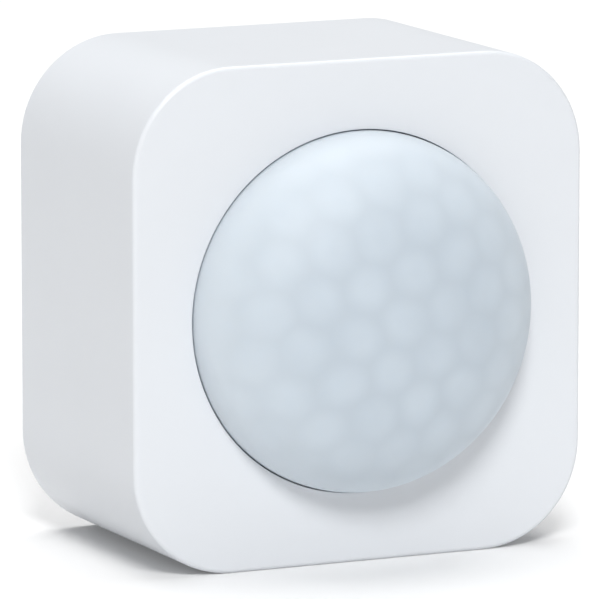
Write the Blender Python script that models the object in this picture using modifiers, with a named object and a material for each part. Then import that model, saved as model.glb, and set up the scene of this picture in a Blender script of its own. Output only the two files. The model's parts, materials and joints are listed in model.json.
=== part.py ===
"""Battery motion sensor: a rounded-square housing with a domed infrared lens on its face.

The frame is metres with +Z up. The origin is under the middle of the base, the face looks along -Y.
Dimensions below are millimetres. A depth is measured back from the face, and a height up from the base.
"""
import math

import bmesh
import bpy
from mathutils import Matrix, Vector

MM = 0.001
FIT = 0.3                       # clearance between neighbouring pieces
REST = 0.15                     # clearance under a piece that is soldered or screwed down
OVERLAP = 0.5                   # how far a joined solid sinks into its neighbour
OVERCUT = 1.0                   # how far a cutting solid reaches past the surface it opens

# Outside
WIDTH = 64.0
HEIGHT = 66.0
BODY_DEPTH = 37.2
CORNER_RADIUS = 13.85
EDGE_ROUND = 0.6
WALL = 1.8
FACE_WALL = 2.0
DOME_HEIGHT = 14.5
PAD_PROUD = 0.8
MID_HEIGHT = HEIGHT / 2
FACE_Y = DOME_HEIGHT - (DOME_HEIGHT + BODY_DEPTH + PAD_PROUD) / 2

# Lens, its flange and the ring that clamps it
OPENING_RADIUS = 23.95
LENS_RADIUS = OPENING_RADIUS - FIT
LENS_WALL = 0.8
FLANGE_RADIUS = 25.4
FLANGE_FRONT = FACE_WALL + FIT
FLANGE_BACK = FLANGE_FRONT + 1.0
RING_INNER = 22.9
RING_OUTER = 26.2
RING_FRONT = FLANGE_BACK + FIT
RING_BACK = 5.7
EAR_FRONT = 4.5
EAR_RADIUS = 2.6
EAR_CIRCLE = 28.2
EAR_ANGLES = (90, 210, 330)
EAR_HOLE_FRONT = 1.2

# Screws
SCREW_HOLE = 1.0
SCREW_CORE = 0.75
CASE_SCREW_OFFSET = 24.6        # from the middle of the face, both ways
CASE_SCREW_CORE = 0.9
CASE_SCREW_TIP = 22.0
CASE_POST_RADIUS = 2.8
CASE_POST_BACK = 30.5
CASE_HOLE = 1.2
CASE_HOLE_FRONT = 21.0
CASE_SEAT = 33.4
SEAT_RADIUS = 3.2
SEAT_BORE = 2.2
WEB_WIDTH = 4.8
WEB_THICKNESS = 1.2
WEB_SHORT = 2.0                 # how far a web stops short of the end of its post

# Circuit board and its posts
BOARD_FRONT = 13.5
BOARD_BACK = 14.7
BOARD_MARGIN = 0.8
BOARD_CORNER = 11.3
BOARD_POST_OFFSET = 20.1
BOARD_POST_RADIUS = 1.8
BOARD_HOLE_FRONT = 6.0
BOARD_PIN_BACK = 15.3
CAN_FRONT = 9.0
CAN_RADIUS = 4.1
CAN_RIM = 0.5
LEAD_CIRCLE = 2.54
LEAD_RADIUS = 0.23
LEAD_HOLE = 0.55
LEAD_BACK = 16.0
WINDOW_HALF_WIDTH = 2.5
WINDOW_HALF_HEIGHT = 2.0
WINDOW_DEPTH = 0.6
PANE_MARGIN = 0.2
CAPACITOR_RADIUS = 3.15
CAPACITOR_HEIGHT = 5.4

# Rear plate, battery bay and door
PLATE_FRONT = 35.2
BAY_HALF_WIDTH = 25.4
BAY_LOW = 13.4
BAY_HIGH = 35.4
BAY_FLOOR = 23.9
BAY_WALL = 1.4
FLOOR_WALL = 1.2
PLATE_OVERLAP = 0.8             # how far the blocks behind the rear plate sink into it
HINGE_BLOCK_INNER = 26.0
HINGE_BLOCK_OUTER = 28.8
HINGE_BLOCK_FRONT = 33.0
HINGE_BLOCK_HIGH = 16.0
DOOR_HALF_WIDTH = 25.9
DOOR_FRONT = PLATE_FRONT + FIT
DOOR_LOW = 12.9
DOOR_HIGH = 35.9
HINGE_RADIUS = (BODY_DEPTH - DOOR_FRONT) / 2
HINGE_DEPTH = BODY_DEPTH - HINGE_RADIUS
HINGE_HEIGHT = DOOR_LOW + HINGE_RADIUS
HINGE_PIN = 0.6
HINGE_PIN_END = 27.2
HINGE_SLOT = 1.0
TAB_HALF_WIDTH = 5.0
TAB_FRONT = 33.4
SCALLOP_RADIUS = 6.0
SCALLOP_DEPTH = 0.8
SCALLOP_RISE = 1.5              # how far its middle stands above the door's edge

# Cells
CELL_RADIUS = 5.2
CELL_LENGTH = 44.5
CELL_DEPTH = 29.55
CELL_HEIGHTS = {"lower": 18.8, "upper": 29.95}
CELL_TIP = 24.6                 # how far the positive tip is from the middle
CONTACT_INNER = 24.8
CONTACT_OUTER = 25.1
CONTACT_HALF = 4.2
CONTACT_HALF_HEIGHT = 4.0
CONTACT_TAB_HALF = 1.2
CONTACT_TAB_FRONT = 20.5
CONTACT_SLOT_HALF = 1.6
SPRING_WIRE = 0.3
SPRING_WIDE = 4.0
SPRING_NARROW = 2.2
WIRE_RADIUS = 0.5

# Bracket, its pocket and the pad on it
POCKET_HALF_WIDTH = 20.4
POCKET_LOW = 38.4
POCKET_HIGH = 60.6
POCKET_FLOOR = 33.9
BRACKET_TRAVEL = 6.7
BRACKET_HALF_WIDTH = 18.4
BRACKET_LOW = POCKET_LOW + BRACKET_TRAVEL + FIT
BRACKET_HIGH = POCKET_HIGH - FIT
BRACKET_EAR_END = 20.0
PAD_MARGIN = 1.2
PAD_GAP = 0.1
LIP_FRONT = 35.9
LIP_LOW = 54.0
LIP_GAP = 0.5                   # between a lip and the bracket's edge
LIP_ROOT = 0.4                  # how far a lip sinks into the pocket's wall

# Pairing button and its switch
BUTTON_X = -25.4
BUTTON_HEIGHT = 45.0
BUTTON_RADIUS = 2.2
BUTTON_TIP = 19.7
COLLAR_RADIUS = 3.1
STEM_RADIUS = 1.2
STEM_HOLE = 1.6
CUP_RADIUS = 4.3
CUP_FRONT = 28.0
CUP_WALL = 0.8
CUP_FLOOR = 1.0
SWITCH_HALF = 3.0
SWITCH_BACK = 18.4
SWITCH_WELL = 2.0
SWITCH_WELL_DEPTH = 1.6
PLUNGER_RADIUS = 1.7
PLUNGER_SINK = 0.8


def point(x, depth, height):
    """A place in metres, from millimetres across, back from the face and up from the base."""
    return Vector((x, FACE_Y + depth, height)) * MM


def clear_scene():
    for old in list(bpy.data.objects):
        bpy.data.objects.remove(old, do_unlink=True)


def make_collection(name):
    collection = bpy.data.collections.new(name)
    bpy.context.scene.collection.children.link(collection)
    return collection


def make_material(name, colour, roughness, metallic=0.0, transmission=0.0):
    material = bpy.data.materials.new(name)
    material.use_nodes = True
    shader = material.node_tree.nodes["Principled BSDF"]
    shader.inputs["Base Color"].default_value = (*colour, 1.0)
    shader.inputs["Roughness"].default_value = roughness
    shader.inputs["Metallic"].default_value = metallic
    shader.inputs["Transmission Weight"].default_value = transmission
    material.diffuse_color = (*colour, 1.0)
    return material


def add_object(name, data, location, rotation=(0, 0, 0)):
    item = bpy.data.objects.new(name, data)
    item.location = location
    item.rotation_euler = rotation
    parts.objects.link(item)
    return item


# ---- Shapes -------------------------------------------------------------------------------------

def rounded_outline(width, height, radius, steps=10):
    """A rectangle with round corners, counter-clockwise round its own middle."""
    outline = []
    for quarter in range(4):
        side_x = 1 if quarter in (0, 3) else -1
        side_y = 1 if quarter in (0, 1) else -1
        for step in range(steps + 1):
            angle = math.radians(90 * (quarter + step / steps))
            outline.append((side_x * (width / 2 - radius) + radius * math.cos(angle),
                            side_y * (height / 2 - radius) + radius * math.sin(angle)))
    return outline


def plate(name, outline, depths, middle=(0.0, MID_HEIGHT)):
    """A flat outline in the plane of the face, thickened from one depth to another."""
    curve = bpy.data.curves.new(name, "CURVE")
    curve.dimensions = "2D"
    curve.fill_mode = "BOTH"
    curve.extrude = (depths[1] - depths[0]) / 2 * MM
    spline = curve.splines.new("POLY")
    spline.points.add(len(outline) - 1)
    spline.use_cyclic_u = True
    for corner, (across, up) in zip(spline.points, outline):
        corner.co = (across * MM, up * MM, 0, 1)
    place = point(middle[0], sum(depths) / 2, middle[1])
    drawn = add_object(name, curve, place, (math.pi / 2, 0, 0))
    return curve_to_mesh(drawn)


def curve_to_mesh(drawn):
    """The same solid as a mesh with its caps welded on, so that it can be cut and bevelled."""
    name = drawn.name
    location = drawn.location.copy()
    rotation = drawn.rotation_euler.copy()
    bpy.context.view_layer.update()
    evaluated = drawn.evaluated_get(bpy.context.evaluated_depsgraph_get())
    mesh = bpy.data.meshes.new_from_object(evaluated)
    bpy.data.objects.remove(drawn, do_unlink=True)
    shape = bmesh.new()
    shape.from_mesh(mesh)
    bmesh.ops.remove_doubles(shape, verts=shape.verts, dist=1e-7)
    bmesh.ops.dissolve_limit(shape, angle_limit=math.radians(0.5), verts=shape.verts, edges=shape.edges)
    bmesh.ops.recalc_face_normals(shape, faces=shape.faces)
    shape.to_mesh(mesh)
    shape.free()
    return add_object(name, mesh, location, rotation)


def box(name, xs, depths, heights):
    shape = bmesh.new()
    bmesh.ops.create_cube(shape, size=1)
    size = Vector((xs[1] - xs[0], depths[1] - depths[0], heights[1] - heights[0])) * MM
    bmesh.ops.scale(shape, vec=size, verts=shape.verts)
    mesh = bpy.data.meshes.new(name)
    shape.to_mesh(mesh)
    shape.free()
    return add_object(name, mesh, point(sum(xs) / 2, sum(depths) / 2, sum(heights) / 2))


def cylinder(name, radius, depths, middle, segments=24):
    """A round bar that points straight back."""
    shape = bmesh.new()
    bmesh.ops.create_cone(shape, cap_ends=True, segments=segments, radius1=radius * MM,
                          radius2=radius * MM, depth=(depths[1] - depths[0]) * MM)
    mesh = bpy.data.meshes.new(name)
    shape.to_mesh(mesh)
    shape.free()
    place = point(middle[0], sum(depths) / 2, middle[1])
    return add_object(name, mesh, place, (-math.pi / 2, 0, 0))


def cross_bar(name, radius, half_length, depth, height, segments=20):
    """A round bar that lies from side to side."""
    bar = cylinder(name, radius, (depth - half_length, depth + half_length), (0, height), segments)
    bar.rotation_euler = (0, math.pi / 2, 0)
    return bar


def turned(name, profile, location, rotation, steps=24):
    """A profile of (radius, height) turned round its height, from the top down its outer side."""
    mesh = bpy.data.meshes.new(name)
    corners = [(radius * MM, 0, up * MM) for radius, up in profile]
    edges = [(index, index + 1) for index in range(len(corners) - 1)]
    mesh.from_pydata(corners, edges, [])
    item = add_object(name, mesh, location, rotation)
    screw = item.modifiers.new("turn", "SCREW")
    screw.steps = steps
    screw.render_steps = steps
    screw.use_merge_vertices = True
    screw.merge_threshold = 1e-6
    screw.use_smooth_shade = False
    return item


FORWARD = (math.pi / 2, 0, 0)
BACKWARD = (-math.pi / 2, 0, 0)


def soften(item, width, segments=2):
    bevel = item.modifiers.new("edges", "BEVEL")
    bevel.width = width * MM
    bevel.segments = segments
    bevel.limit_method = "ANGLE"
    bevel.angle_limit = math.radians(40)


def combine(item, tool, operation):
    change = item.modifiers.new(tool.name, "BOOLEAN")
    change.operation = operation
    change.solver = "EXACT"
    change.object = tool
    tool.hide_render = True
    tool.display_type = "WIRE"
    parts.objects.unlink(tool)
    tools.objects.link(tool)


def cut(item, tool):
    combine(item, tool, "DIFFERENCE")


def join(item, tool):
    combine(item, tool, "UNION")


def paint(item, material):
    item.data.materials.clear()
    item.data.materials.append(material)


def corners(offset):
    """The four places that lie the same distance across and up from the middle of the face."""
    return [(across * offset, MID_HEIGHT + up * offset) for across in (-1, 1) for up in (-1, 1)]


def round_place(circle, degrees):
    angle = math.radians(degrees)
    return circle * math.cos(angle), MID_HEIGHT + circle * math.sin(angle)


def hang_on_axis(item, name, place):
    """Parents a moving piece to an empty that stands on its joint's axis."""
    axis = bpy.data.objects.new(name, None)
    axis.location = place
    parts.objects.link(axis)
    item.parent = axis
    item.matrix_parent_inverse = Matrix.Translation(-Vector(place))


# ---- Housing and lens ---------------------------------------------------------------------------

def make_front_housing(plastic):
    shell = plate("front_housing", rounded_outline(WIDTH, HEIGHT, CORNER_RADIUS, 14), (0, BODY_DEPTH))
    soften(shell, EDGE_ROUND, 3)
    inside = rounded_outline(WIDTH - 2 * WALL, HEIGHT - 2 * WALL, CORNER_RADIUS - WALL, 12)
    cut(shell, plate("shell_inside", inside, (FACE_WALL, BODY_DEPTH + OVERCUT)))
    opening = (-OVERCUT, FACE_WALL + OVERCUT)
    cut(shell, cylinder("lens_opening", OPENING_RADIUS, opening, (0, MID_HEIGHT), 64))
    root = FACE_WALL - OVERLAP
    for number, place in enumerate(corners(CASE_SCREW_OFFSET)):
        join(shell, cylinder(f"case_post_{number}", CASE_POST_RADIUS, (root, CASE_POST_BACK), place, 20))
        join(shell, case_post_web(number, place, root))
        hole = (CASE_HOLE_FRONT, CASE_POST_BACK + OVERCUT)
        cut(shell, cylinder(f"case_post_hole_{number}", CASE_HOLE, hole, place, 16))
    board_rest = BOARD_FRONT - FIT
    for number, place in enumerate(corners(BOARD_POST_OFFSET)):
        join(shell, cylinder(f"board_post_{number}", BOARD_POST_RADIUS, (root, board_rest), place, 16))
        if number in (1, 2):
            hole = (BOARD_HOLE_FRONT, BOARD_FRONT + OVERCUT)
            cut(shell, cylinder(f"board_post_hole_{number}", SCREW_HOLE, hole, place, 12))
        else:
            pin = (board_rest - OVERCUT, BOARD_PIN_BACK)
            join(shell, cylinder(f"board_pin_{number}", SCREW_CORE, pin, place, 12))
    for number, angle in enumerate(EAR_ANGLES):
        place = round_place(EAR_CIRCLE, angle)
        join(shell, cylinder(f"ring_boss_{number}", BOARD_POST_RADIUS, (root, EAR_FRONT - FIT), place, 16))
        hole = (EAR_HOLE_FRONT, EAR_FRONT + OVERCUT)
        cut(shell, cylinder(f"ring_boss_hole_{number}", SCREW_HOLE, hole, place, 12))
    paint(shell, plastic)


def case_post_web(number, place, front):
    """The web that ties a corner post to the wall behind it."""
    half_width = WEB_WIDTH / 2
    half_thickness = WEB_THICKNESS / 2
    web = box(f"case_post_web_{number}", (-half_width, half_width), (front, CASE_POST_BACK - WEB_SHORT),
              (-half_thickness, half_thickness))
    side = 1 if place[0] > 0 else -1
    lift = 1 if place[1] > MID_HEIGHT else -1
    reach = CASE_POST_RADIUS * 0.75
    web.location.x = (place[0] + side * reach) * MM
    web.location.z = (place[1] + lift * reach) * MM
    web.rotation_euler.y = -side * lift * math.pi / 4
    return web


def dome(radius, height, steps):
    """A quarter of an ellipse, from the tip of the dome down to its rim."""
    angles = [math.pi / 2 * (1 - step / steps) for step in range(steps + 1)]
    return [(radius * math.cos(angle) if angle < math.pi / 2 else 0.0, height * math.sin(angle))
            for angle in angles]


def make_lens(milky):
    outside = dome(LENS_RADIUS, DOME_HEIGHT, 14)
    flange = [(LENS_RADIUS, -FLANGE_FRONT), (FLANGE_RADIUS, -FLANGE_FRONT),
              (FLANGE_RADIUS, -FLANGE_BACK), (LENS_RADIUS - LENS_WALL, -FLANGE_BACK)]
    inside = dome(LENS_RADIUS - LENS_WALL, DOME_HEIGHT - LENS_WALL, 12)
    lens = turned("fresnel_lens", outside + flange + inside[::-1], point(0, 0, MID_HEIGHT), FORWARD, 48)
    paint(lens, milky)


def make_lens_retainer(plastic):
    profile = [(RING_OUTER, -RING_FRONT), (RING_OUTER, -RING_BACK), (RING_INNER, -RING_BACK),
               (RING_INNER, -RING_FRONT), (RING_OUTER, -RING_FRONT)]
    ring = turned("lens_retainer", profile, point(0, 0, MID_HEIGHT), FORWARD, 40)
    for number, angle in enumerate(EAR_ANGLES):
        place = round_place(EAR_CIRCLE, angle)
        join(ring, cylinder(f"ring_ear_{number}", EAR_RADIUS, (EAR_FRONT, RING_BACK), place, 20))
    for number, angle in enumerate(EAR_ANGLES):
        place = round_place(EAR_CIRCLE, angle)
        hole = (EAR_FRONT - OVERCUT, RING_BACK + OVERCUT)
        cut(ring, cylinder(f"ring_ear_hole_{number}", SCREW_HOLE, hole, place, 12))
    paint(ring, plastic)


# ---- Screws -------------------------------------------------------------------------------------

def make_screw(name, place, depths, head, core, steel):
    """A pan-head screw driven from behind. Depths are tip and seat, head is radius and height."""
    tip, seat = depths
    head_radius, head_height = head
    length = seat - tip
    profile = [(0.0, head_height), (head_radius * 0.72, head_height), (head_radius, head_height * 0.6),
               (head_radius, 0.0), (core, 0.0), (core, -length + core), (0.0, -length)]
    paint(turned(name, profile, point(place[0], seat, place[1]), BACKWARD, 16), steel)


def make_screws(steel):
    retainer_depths = (1.5, RING_BACK + REST)
    for number, angle in enumerate(EAR_ANGLES, 1):
        place = round_place(EAR_CIRCLE, angle)
        make_screw(f"retainer_screw_{number}", place, retainer_depths, (1.7, 1.2), SCREW_CORE, steel)
    board_depths = (7.5, BOARD_BACK + REST)
    for number, place in enumerate(corners(BOARD_POST_OFFSET)[1:3], 1):
        make_screw(f"pcb_screw_{number}", place, board_depths, (1.9, 1.3), SCREW_CORE, steel)
    case_depths = (CASE_SCREW_TIP, CASE_SEAT + REST)
    for number, place in enumerate(corners(CASE_SCREW_OFFSET), 1):
        make_screw(f"case_screw_{number}", place, case_depths, (1.95, 1.5), CASE_SCREW_CORE, steel)


# ---- Circuit board ------------------------------------------------------------------------------

def make_board(laminate):
    width = WIDTH - 2 * (WALL + BOARD_MARGIN)
    height = HEIGHT - 2 * (WALL + BOARD_MARGIN)
    board = plate("main_pcb", rounded_outline(width, height, BOARD_CORNER, 8), (BOARD_FRONT, BOARD_BACK))
    depths = (BOARD_FRONT - OVERCUT, BOARD_BACK + OVERCUT)
    notch = CASE_POST_RADIUS + 0.5
    for number, place in enumerate(corners(CASE_SCREW_OFFSET)):
        cut(board, cylinder(f"board_notch_{number}", notch, depths, place, 20))
    for number, place in enumerate(corners(BOARD_POST_OFFSET)):
        cut(board, cylinder(f"board_hole_{number}", SCREW_CORE + FIT, depths, place, 12))
    for number in range(3):
        cut(board, cylinder(f"board_lead_hole_{number}", LEAD_HOLE, depths, lead_place(number), 10))
    paint(board, laminate)


def lead_place(number):
    return round_place(LEAD_CIRCLE, 90 * number)


def make_detector(metal, filter_dark, wire):
    """The infrared detector: a round can with a window, on three leads."""
    foot = BOARD_FRONT - FIT
    chamfer = 0.3
    rim_top = CAN_RIM - foot
    rim_radius = CAN_RADIUS + CAN_RIM
    profile = [(0.0, -CAN_FRONT), (CAN_RADIUS - chamfer, -CAN_FRONT), (CAN_RADIUS, -CAN_FRONT - chamfer),
               (CAN_RADIUS, rim_top), (rim_radius, rim_top), (rim_radius, -foot), (0.0, -foot)]
    can = turned("pyro_sensor", profile, point(0, 0, MID_HEIGHT), FORWARD, 32)
    cut(can, box("can_window", (-WINDOW_HALF_WIDTH, WINDOW_HALF_WIDTH),
                 (CAN_FRONT - OVERCUT, CAN_FRONT + WINDOW_DEPTH),
                 (MID_HEIGHT - WINDOW_HALF_HEIGHT, MID_HEIGHT + WINDOW_HALF_HEIGHT)))
    paint(can, metal)
    pane_half_width = WINDOW_HALF_WIDTH - PANE_MARGIN
    pane_half_height = WINDOW_HALF_HEIGHT - PANE_MARGIN
    pane = box("pyro_window", (-pane_half_width, pane_half_width),
               (CAN_FRONT + 0.1, CAN_FRONT + WINDOW_DEPTH - REST),
               (MID_HEIGHT - pane_half_height, MID_HEIGHT + pane_half_height))
    paint(pane, filter_dark)
    for number in range(3):
        reach = (foot + 0.1, LEAD_BACK)
        paint(cylinder(f"pyro_lead_{number + 1}", LEAD_RADIUS, reach, lead_place(number), 8), wire)


def make_board_parts(materials):
    """What else is soldered to the board, each as (name, xs, depths, heights, material)."""
    front = (BOARD_FRONT - 1.0, BOARD_FRONT - REST)
    back = BOARD_BACK + REST
    blocks = (
        ("status_led", (8.5, 10.5), front, (26.2, 27.6), "led"),
        ("light_sensor", (-10.8, -8.4), front, (26.0, 27.8), "chip"),
        ("radio_module", (6.0, 21.0), (back, back + 0.8), (35.5, 50.5), "laminate"),
        ("radio_shield", (7.2, 19.8), (back + 0.95, back + 2.9), (36.7, 46.5), "shield"),
        ("controller_chip", (-9.0, -2.0), (back, back + 1.0), (40.0, 47.0), "chip"),
    )
    for name, xs, depths, heights, material in blocks:
        block = box(name, xs, depths, heights)
        soften(block, 0.15, 1)
        paint(block, materials[material])
    chamfer = 0.35
    profile = [(0.0, CAPACITOR_HEIGHT), (CAPACITOR_RADIUS - chamfer, CAPACITOR_HEIGHT),
               (CAPACITOR_RADIUS, CAPACITOR_HEIGHT - chamfer), (CAPACITOR_RADIUS, 0.0), (0.0, 0.0)]
    paint(turned("capacitor", profile, point(-15, back, 30), BACKWARD, 24), materials["shield"])


def make_button_and_switch(plastic, chip, plunger_plastic):
    place = (BUTTON_X, BUTTON_HEIGHT)
    body = box("switch_body", (BUTTON_X - SWITCH_HALF, BUTTON_X + SWITCH_HALF),
               (BOARD_BACK + REST, SWITCH_BACK), (BUTTON_HEIGHT - SWITCH_HALF, BUTTON_HEIGHT + SWITCH_HALF))
    well = (SWITCH_BACK - SWITCH_WELL_DEPTH, SWITCH_BACK + OVERCUT)
    cut(body, cylinder("switch_well", SWITCH_WELL, well, place, 20))
    paint(body, chip)
    reach = (SWITCH_BACK - PLUNGER_SINK, BUTTON_TIP - FIT)
    paint(cylinder("switch_plunger", PLUNGER_RADIUS, reach, place, 20), plunger_plastic)
    chamfer = 0.3
    collar_back = PLATE_FRONT - FIT
    collar_front = collar_back - 1
    top = BODY_DEPTH - 0.2
    profile = [(0.0, top), (BUTTON_RADIUS - chamfer, top), (BUTTON_RADIUS, top - chamfer),
               (BUTTON_RADIUS, collar_back), (COLLAR_RADIUS, collar_back), (COLLAR_RADIUS, collar_front),
               (STEM_RADIUS, collar_front), (STEM_RADIUS, BUTTON_TIP), (0.0, BUTTON_TIP)]
    button = turned("pairing_button", profile, point(BUTTON_X, 0, BUTTON_HEIGHT), BACKWARD, 24)
    paint(button, plastic)


# ---- Rear plate, door and cells -----------------------------------------------------------------

def make_rear_housing(plastic):
    width = WIDTH - 2 * (WALL + FIT)
    height = HEIGHT - 2 * (WALL + FIT)
    outline = rounded_outline(width, height, CORNER_RADIUS - WALL - FIT, 12)
    rear = plate("rear_housing", outline, (PLATE_FRONT, BODY_DEPTH))
    add_rear_blocks(rear, PLATE_FRONT + PLATE_OVERLAP)
    cut_rear_openings(rear, BODY_DEPTH + OVERCUT)
    for side in (-1, 1):
        lip_x = sorted((side * (BRACKET_HALF_WIDTH + LIP_GAP), side * (POCKET_HALF_WIDTH + LIP_ROOT)))
        lip_heights = (LIP_LOW, POCKET_HIGH + LIP_ROOT)
        join(rear, box(f"bracket_lip_{side}", lip_x, (LIP_FRONT, BODY_DEPTH), lip_heights))
    paint(rear, plastic)


def add_rear_blocks(rear, merge):
    """What stands forward of the rear plate, each block sunk into the plate as deep as merge."""
    wall_x = BAY_HALF_WIDTH + BAY_WALL
    join(rear, box("bay_block", (-wall_x, wall_x), (BAY_FLOOR - FLOOR_WALL, merge),
                   (BAY_LOW - BAY_WALL, BAY_HIGH + BAY_WALL)))
    pocket_x = POCKET_HALF_WIDTH + FLOOR_WALL
    join(rear, box("pocket_block", (-pocket_x, pocket_x), (POCKET_FLOOR - FLOOR_WALL, merge),
                   (BAY_HIGH + BAY_WALL / 2, POCKET_HIGH + FLOOR_WALL)))
    for side in (-1, 1):
        block_x = sorted((side * HINGE_BLOCK_INNER, side * HINGE_BLOCK_OUTER))
        join(rear, box(f"hinge_block_{side}", block_x, (HINGE_BLOCK_FRONT, merge),
                       (BAY_LOW - BAY_WALL, HINGE_BLOCK_HIGH)))
    for number, place in enumerate(corners(CASE_SCREW_OFFSET)):
        join(rear, cylinder(f"seat_boss_{number}", SEAT_RADIUS, (CASE_POST_BACK + FIT, merge), place, 20))
    join(rear, cylinder("button_cup", CUP_RADIUS, (CUP_FRONT, merge), (BUTTON_X, BUTTON_HEIGHT), 28))


def cut_rear_openings(rear, outside):
    """The battery bay, the pocket, the hinge, the screw seats and the button's way through."""
    bay_x = (-BAY_HALF_WIDTH, BAY_HALF_WIDTH)
    cut(rear, box("bay_inside", bay_x, (BAY_FLOOR, outside), (BAY_LOW, BAY_HIGH)))
    opening_x = DOOR_HALF_WIDTH + FIT
    cut(rear, box("door_opening", (-opening_x, opening_x), (PLATE_FRONT, outside),
                  (DOOR_LOW - FIT, DOOR_HIGH + FIT)))
    pocket_x = (-POCKET_HALF_WIDTH, POCKET_HALF_WIDTH)
    cut(rear, box("pocket_inside", pocket_x, (POCKET_FLOOR, outside), (POCKET_LOW, POCKET_HIGH)))
    socket_end = HINGE_PIN_END + FIT
    cut(rear, cross_bar("hinge_socket", HINGE_PIN + REST, socket_end, HINGE_DEPTH, HINGE_HEIGHT))
    cut(rear, box("hinge_slot", (-socket_end, socket_end), (HINGE_DEPTH, outside),
                  (HINGE_HEIGHT - HINGE_SLOT / 2, HINGE_HEIGHT + HINGE_SLOT / 2)))
    for number, place in enumerate(corners(CASE_SCREW_OFFSET)):
        cut(rear, cylinder(f"seat_bore_{number}", SEAT_BORE, (CASE_SEAT, outside), place, 20))
        hole = (CASE_POST_BACK - OVERCUT, CASE_SEAT + OVERCUT)
        cut(rear, cylinder(f"seat_hole_{number}", CASE_HOLE, hole, place, 16))
    button_place = (BUTTON_X, BUTTON_HEIGHT)
    cup_floor_back = CUP_FRONT + CUP_FLOOR
    cup_depths = (cup_floor_back, PLATE_FRONT)
    cut(rear, cylinder("cup_inside", CUP_RADIUS - CUP_WALL, cup_depths, button_place, 28))
    hole = (PLATE_FRONT - OVERCUT, outside)
    cut(rear, cylinder("button_hole", BUTTON_RADIUS + FIT, hole, button_place, 24))
    stem_hole = (CUP_FRONT - OVERCUT, cup_floor_back + OVERCUT)
    cut(rear, cylinder("stem_hole", STEM_HOLE, stem_hole, button_place, 16))
    slot_x = (CONTACT_INNER - 0.3, CONTACT_OUTER + 0.25)
    slot_depths = (BAY_FLOOR - FLOOR_WALL - OVERCUT, BAY_FLOOR + OVERLAP)
    for level, height in CELL_HEIGHTS.items():
        slot_heights = (height - CONTACT_SLOT_HALF, height + CONTACT_SLOT_HALF)
        cut(rear, box(f"contact_slot_{level}", slot_x, slot_depths, slot_heights))


def make_battery_door(plastic):
    middle = (0, (HINGE_HEIGHT + DOOR_HIGH) / 2)
    outline = rounded_outline(2 * DOOR_HALF_WIDTH, DOOR_HIGH - HINGE_HEIGHT, 0.6, 2)
    door = plate("battery_door", outline, (DOOR_FRONT, BODY_DEPTH), middle)
    join(door, cross_bar("door_barrel", HINGE_RADIUS, DOOR_HALF_WIDTH, HINGE_DEPTH, HINGE_HEIGHT))
    join(door, cross_bar("door_pin", HINGE_PIN, HINGE_PIN_END, HINGE_DEPTH, HINGE_HEIGHT, 16))
    join(door, box("door_tab", (-TAB_HALF_WIDTH, TAB_HALF_WIDTH), (TAB_FRONT, DOOR_FRONT + OVERLAP),
                   (DOOR_HIGH - 1.9, DOOR_HIGH - 1.0)))
    scallop = (BODY_DEPTH - SCALLOP_DEPTH, BODY_DEPTH + OVERCUT)
    cut(door, cylinder("finger_scallop", SCALLOP_RADIUS, scallop, (0, DOOR_HIGH + SCALLOP_RISE), 32))
    paint(door, plastic)
    hang_on_axis(door, "door_hinge_axis", point(0, HINGE_DEPTH, HINGE_HEIGHT))


def make_cell(level, side, jacket):
    """One cell along X, with its positive tip on the given side."""
    height = CELL_HEIGHTS[level]
    profile = [(0.0, 0.0), (1.9, 0.0), (1.9, -1.0), (CELL_RADIUS - 0.5, -1.0), (CELL_RADIUS, -1.5),
               (CELL_RADIUS, -CELL_LENGTH + 0.4), (CELL_RADIUS - 0.4, -CELL_LENGTH), (0.0, -CELL_LENGTH)]
    place = point(side * CELL_TIP, CELL_DEPTH, height)
    paint(turned(f"battery_{level}", profile, place, (0, side * math.pi / 2, 0), 32), jacket)


def make_spring(level, side, wire):
    """A conical spring whose wide end sits by the contact on the given side."""
    turns = 4
    points_per_turn = 10
    start = CONTACT_INNER - 0.5
    end = CELL_LENGTH - CELL_TIP + 0.5
    curve = bpy.data.curves.new(f"spring_{level}", "CURVE")
    curve.dimensions = "3D"
    curve.bevel_depth = SPRING_WIRE * MM
    curve.bevel_resolution = 1
    curve.use_fill_caps = True
    count = turns * points_per_turn + 1
    spline = curve.splines.new("POLY")
    spline.points.add(count - 1)
    for index, knot in enumerate(spline.points):
        along = index / (count - 1)
        radius = SPRING_WIDE + (SPRING_NARROW - SPRING_WIDE) * along
        angle = 2 * math.pi * turns * along
        across = start + (end - start) * along
        knot.co = (side * across * MM, radius * math.cos(angle) * MM, radius * math.sin(angle) * MM, 1)
    add_object(f"spring_{level}", curve, point(0, CELL_DEPTH, CELL_HEIGHTS[level]))
    curve.materials.append(wire)


def make_contacts(nickel):
    """The plates at the ends of the cells. The two on the right reach through the floor on a tab."""
    blade = (CELL_DEPTH - CONTACT_HALF, CELL_DEPTH + CONTACT_HALF)
    for name, level in (("contact_positive", "lower"), ("contact_negative", "upper")):
        height = CELL_HEIGHTS[level]
        contact = box(name, (CONTACT_INNER, CONTACT_OUTER), blade,
                      (height - CONTACT_HALF_HEIGHT, height + CONTACT_HALF_HEIGHT))
        tab_heights = (height - CONTACT_TAB_HALF, height + CONTACT_TAB_HALF)
        join(contact, box(f"{name}_tab", (CONTACT_INNER, CONTACT_OUTER), (CONTACT_TAB_FRONT, CELL_DEPTH),
                          tab_heights))
        paint(contact, nickel)
    bridge = box("contact_bridge", (-CONTACT_OUTER, -CONTACT_INNER), blade,
                 (CELL_HEIGHTS["lower"] - CONTACT_HALF_HEIGHT, CELL_HEIGHTS["upper"] + CONTACT_HALF_HEIGHT))
    soften(bridge, 0.1, 1)
    paint(bridge, nickel)


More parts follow.
